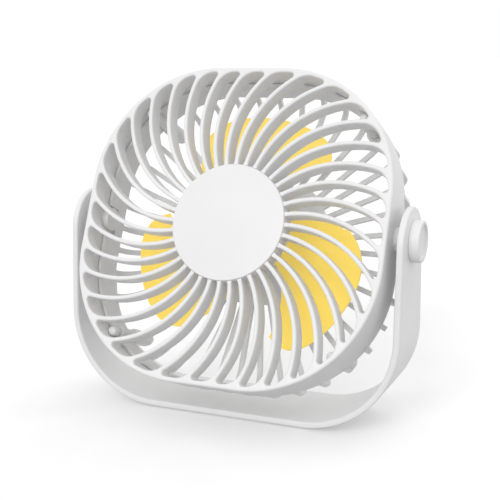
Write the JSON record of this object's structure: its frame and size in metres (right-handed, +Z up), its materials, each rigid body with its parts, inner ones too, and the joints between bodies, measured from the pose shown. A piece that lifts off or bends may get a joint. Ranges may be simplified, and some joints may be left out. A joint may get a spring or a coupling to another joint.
{
  "type": "desk fan",
  "caption": "Small USB desk fan: a rounded-square head with swirled grilles and a yellow impeller, tilting in a U-shaped stand.",
  "frame": {"origin": "centre of the foot pad's underside, on the surface that the fan stands on, under the tilt axis", "axes": "+Z up, -Y out of the fan's front, +X to the viewer's right from the front, along the tilt axis"},
  "size_m": [0.1712, 0.0955, 0.159],
  "materials": {
    "white_plastic": "satin moulded ABS with fine spark texture",
    "button_plastic": "satin moulded ABS",
    "yellow_plastic": "glossy moulded polypropylene, slightly translucent at the edges",
    "nylon": "natural nylon",
    "grey_silicone": "matt silicone",
    "black_rubber": "matt rubber",
    "black_plastic": "matt",
    "circuit_board": "solder mask",
    "ferrite": "sintered ferrite",
    "zinc_steel": "zinc plated",
    "motor_steel": "nickel plated, fine brushing",
    "brass": "turned",
    "copper": "bare copper"
  },
  "bodies": {
    "stand": {"stand_bracket": "white_plastic", "foot_pad": "grey_silicone", "pivot_cap_left": "white_plastic", "pivot_cap_right": "white_plastic"},
    "head": {"pivot_sleeves": "nylon", "pivot_screws": "zinc_steel", "pivot_washers": "zinc_steel", "friction_rings": "black_rubber", "front_cover": "white_plastic", "centre_disc": "white_plastic", "rear_cover": "white_plastic", "pod_cover": "white_plastic", "cover_screws": "zinc_steel", "pod_screws": "zinc_steel", "motor_can": "motor_steel", "motor_end_cap": "black_plastic", "motor_magnets": "ferrite", "front_bearing": "brass", "rear_bearing": "brass", "motor_brushes": "copper", "motor_terminals": "brass", "motor_screws": "zinc_steel", "motor_leads": "black_plastic", "control_board": "circuit_board", "usb_socket": "motor_steel", "tact_switch": "black_plastic"},
    "button": {"push_button": "button_plastic", "switch_plunger": "nylon"},
    "rotor": {"impeller": "yellow_plastic", "hub_insert": "brass", "motor_shaft": "motor_steel", "armature_core": "motor_steel", "armature_windings": "copper", "commutator": "copper"}
  },
  "joints": [
    {"name": "head_tilt", "type": "hinge", "parent": "stand", "child": "head", "pos_m": [0, 0, 0.0854], "axis": [1, 0, 0], "continuous": true},
    {"name": "impeller_spin", "type": "hinge", "parent": "head", "child": "rotor", "pos_m": [0, -0.00039, 0.08448], "axis": [0, -0.9205, 0.3907], "continuous": true},
    {"name": "button_press", "type": "slide", "parent": "head", "child": "button", "axis": [0, -0.9205, 0.3907], "range_m": [0, 0.0005], "stiffness_N_per_m": 2500, "springref_m": -0.0001}
  ]
}
